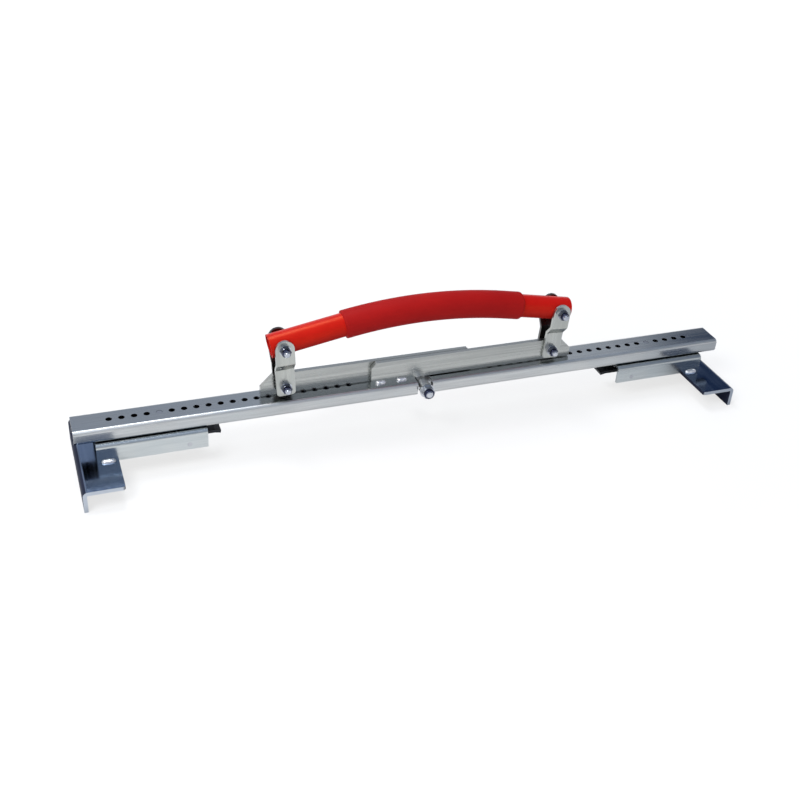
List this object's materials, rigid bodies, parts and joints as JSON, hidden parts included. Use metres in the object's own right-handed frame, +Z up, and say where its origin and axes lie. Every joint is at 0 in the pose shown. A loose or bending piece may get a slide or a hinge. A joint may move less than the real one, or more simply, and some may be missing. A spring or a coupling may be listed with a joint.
{
  "type": "slab lifter",
  "caption": "Hand lifter for paving slabs: hinged rail with sliding latched jaws, crossed lifting bars and a red tube handle on links.",
  "frame": {"origin": "on the floor, midway between the two jaw lips, under the centre hinge", "axes": "+X along the rails to the right jaw, +Y across to the back, away from the nuts, +Z up"},
  "size_m": [0.737, 0.132, 0.1577],
  "materials": {
    "zinc_steel": "bright zinc plate, satin, drawn along its length",
    "jaw_steel": "blue zinc plate, glossy",
    "weld_metal": "rippled bead, plated over",
    "fasteners": "bright zinc plate",
    "latch_steel": "dark, satin",
    "spring_steel": "drawn wire",
    "slide_plastic": "moulded, matte",
    "red_enamel": "gloss enamel",
    "red_grip": "soft, matte"
  },
  "bodies": {
    "left_frame": {"left_rail": "zinc_steel", "front_bar": "zinc_steel", "front_bar_welds": "weld_metal", "left_knuckle": "zinc_steel", "hinge_bolt": "fasteners", "hinge_nut": "fasteners", "hinge_washers": "fasteners", "right_lower_bolt": "fasteners", "right_lower_nut": "fasteners", "right_lower_washers": "fasteners", "right_pivot_spacer": "fasteners"},
    "right_frame": {"right_rail": "zinc_steel", "rear_bar": "zinc_steel", "rear_bar_welds": "weld_metal", "right_knuckle": "zinc_steel", "left_lower_bolt": "fasteners", "left_lower_nut": "fasteners", "left_lower_washers": "fasteners", "left_pivot_spacer": "fasteners"},
    "left_jaw": {"left_jaw_plate": "jaw_steel", "left_carriage": "zinc_steel", "left_jaw_welds": "weld_metal", "left_slide_blocks": "slide_plastic", "left_slide_screws": "fasteners", "left_latch_pin": "fasteners", "left_latch_spring": "spring_steel"},
    "left_latch": {"left_latch_lever": "latch_steel"},
    "left_plunger": {"left_latch_plunger": "fasteners"},
    "right_jaw": {"right_jaw_plate": "jaw_steel", "right_carriage": "zinc_steel", "right_jaw_welds": "weld_metal", "right_slide_blocks": "slide_plastic", "right_slide_screws": "fasteners", "right_latch_pin": "fasteners", "right_latch_spring": "spring_steel"},
    "right_latch": {"right_latch_lever": "latch_steel"},
    "right_plunger": {"right_latch_plunger": "fasteners"},
    "right_links": {"right_front_link": "zinc_steel", "right_rear_link": "zinc_steel", "right_upper_bolt": "fasteners", "right_upper_nut": "fasteners", "right_upper_washers": "fasteners"},
    "left_links": {"left_front_link": "zinc_steel", "left_rear_link": "zinc_steel", "left_upper_bolt": "fasteners", "left_upper_nut": "fasteners", "left_upper_washers": "fasteners"},
    "handle": {"handle_tube": "red_enamel", "grip_sleeve": "red_grip"}
  },
  "joints": [
    {"name": "knee_hinge", "type": "hinge", "parent": "left_frame", "child": "right_frame", "pos_m": [0, 0, 0.05245], "axis": [0, 1, 0], "range_deg": [0, 12]},
    {"name": "right_link_turn", "type": "hinge", "parent": "left_frame", "child": "right_links", "pos_m": [0.1527, 0, 0.0737], "axis": [0, 1, 0], "range_deg": [-0.4, 9.6]},
    {"name": "handle_turn", "type": "hinge", "parent": "right_links", "child": "handle", "pos_m": [0.15558, 0, 0.12222], "axis": [0, 1, 0], "range_deg": [-3.5, 0.2]},
    {"name": "left_link_turn", "type": "hinge", "parent": "right_frame", "child": "left_links", "pos_m": [-0.1527, 0, 0.0737], "axis": [0, 1, 0], "range_deg": [-9.6, 0.4]},
    {"name": "left_jaw_slide", "type": "slide", "parent": "left_frame", "child": "left_jaw", "axis": [1, 0, 0], "range_m": [-0.025, 0.2]},
    {"name": "left_latch_turn", "type": "hinge", "parent": "left_jaw", "child": "left_latch", "pos_m": [-0.2565, 0, 0.0296], "axis": [0, -1, 0], "range_deg": [0, 7.5], "stiffness_Nm_per_rad": 2, "springref_deg": -6.88, "deforming": ["left_latch_spring"]},
    {"name": "left_plunger_slide", "type": "slide", "parent": "left_jaw", "child": "left_plunger", "axis": [0, 0, -1], "range_m": [0, 0.0036]},
    {"name": "right_jaw_slide", "type": "slide", "parent": "right_frame", "child": "right_jaw", "axis": [-1, 0, 0], "range_m": [-0.025, 0.2]},
    {"name": "right_latch_turn", "type": "hinge", "parent": "right_jaw", "child": "right_latch", "pos_m": [0.2565, 0, 0.0296], "axis": [0, 1, 0], "range_deg": [0, 7.5], "stiffness_Nm_per_rad": 2, "springref_deg": -6.88, "deforming": ["right_latch_spring"]},
    {"name": "right_plunger_slide", "type": "slide", "parent": "right_jaw", "child": "right_plunger", "axis": [0, 0, -1], "range_m": [0, 0.0036]}
  ],
  "couplings": [
    {"joint": "right_link_turn", "follows": "knee_hinge", "ratio": 0.77},
    {"joint": "handle_turn", "follows": "knee_hinge", "ratio": -0.27},
    {"joint": "left_link_turn", "follows": "knee_hinge", "ratio": -0.77},
    {"joint": "left_plunger_slide", "follows": "left_latch_turn", "m_per_rad": 0.0255},
    {"joint": "right_plunger_slide", "follows": "right_latch_turn", "m_per_rad": 0.0255}
  ]
}
